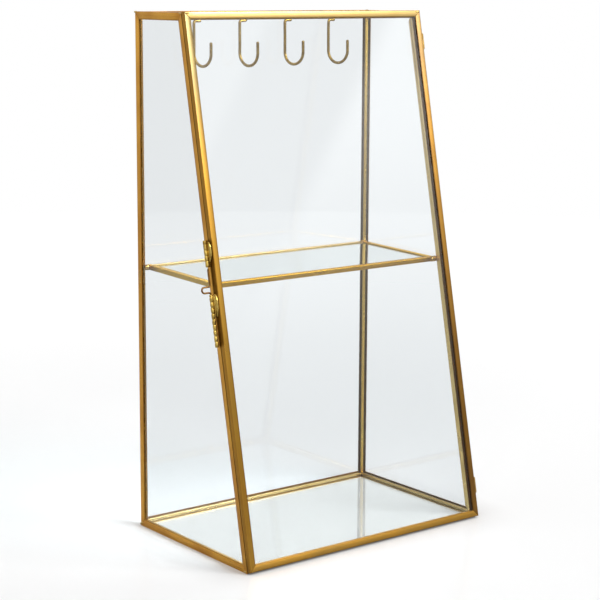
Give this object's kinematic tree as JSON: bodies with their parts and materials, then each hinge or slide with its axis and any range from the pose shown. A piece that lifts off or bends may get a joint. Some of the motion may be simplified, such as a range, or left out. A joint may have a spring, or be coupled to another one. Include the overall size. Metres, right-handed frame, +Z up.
{
  "type": "jewelry box",
  "caption": "Upright glass and brass jewelry box with a leaning hinged door, a glass shelf, wire hooks under the roof and a slide bolt.",
  "frame": {"origin": "middle of the back edge of the case's underside, at table height", "axes": "+Z up, -Y out of the back towards the door, +X to the hinge side"},
  "size_m": [0.2098, 0.1284, 0.3506],
  "materials": {
    "brass": "aged brass strip, satin with small wear marks",
    "inner_brass": "bright brass bar, lightly polished",
    "dark_brass": "darkened brass fittings, satin",
    "hook_wire": "drawn brass wire, dull",
    "solder": "solder toned to brass, smooth and rounded",
    "glass": "clear sheet glass, faintly green at its edges"
  },
  "bodies": {
    "case": {"back_left_post": "brass", "back_right_post": "brass", "left_slope": "brass", "right_slope": "brass", "roof_back_rail": "brass", "roof_front_rail": "brass", "roof_left_rail": "brass", "roof_right_rail": "brass", "base_back_rail": "brass", "base_front_rail": "brass", "base_left_rail": "brass", "base_right_rail": "brass", "back_left_bar": "inner_brass", "back_right_bar": "inner_brass", "left_slope_bar": "inner_brass", "right_slope_bar": "inner_brass", "roof_back_bar": "inner_brass", "roof_front_bar": "inner_brass", "roof_left_bar": "inner_brass", "roof_right_bar": "inner_brass", "base_back_bar": "inner_brass", "base_front_bar": "inner_brass", "base_left_bar": "inner_brass", "base_right_bar": "inner_brass", "left_glass": "glass", "right_glass": "glass", "back_glass": "glass", "roof_glass": "glass", "base_glass": "glass", "upper_hinge_case_leaf": "dark_brass", "upper_hinge_pin": "dark_brass", "lower_hinge_case_leaf": "dark_brass", "lower_hinge_pin": "dark_brass", "latch_case_plate": "dark_brass", "shelf_front_strip": "brass", "shelf_back_strip": "brass", "shelf_left_strip": "brass", "shelf_right_strip": "brass", "shelf_glass": "glass", "shelf_solder": "solder", "hook_1": "hook_wire", "hook_2": "hook_wire", "hook_3": "hook_wire", "hook_4": "hook_wire", "hook_solder": "solder"},
    "door": {"door_left_stile": "brass", "door_right_stile": "brass", "door_top_rail": "brass", "door_bottom_rail": "brass", "door_glass": "glass", "upper_hinge_door_leaf": "dark_brass", "lower_hinge_door_leaf": "dark_brass", "latch_door_plate": "dark_brass"},
    "bolt": {"latch_bolt": "hook_wire"}
  },
  "joints": [
    {"name": "door_hinge", "type": "hinge", "parent": "case", "child": "door", "pos_m": [0.1007, -0.1252, 0.00004], "axis": [0, 0.1988, 0.98], "range_deg": [0, 160]},
    {"name": "bolt_slide", "type": "slide", "parent": "door", "child": "bolt", "axis": [0, 0.1988, 0.98], "range_m": [0, 0.011]}
  ]
}
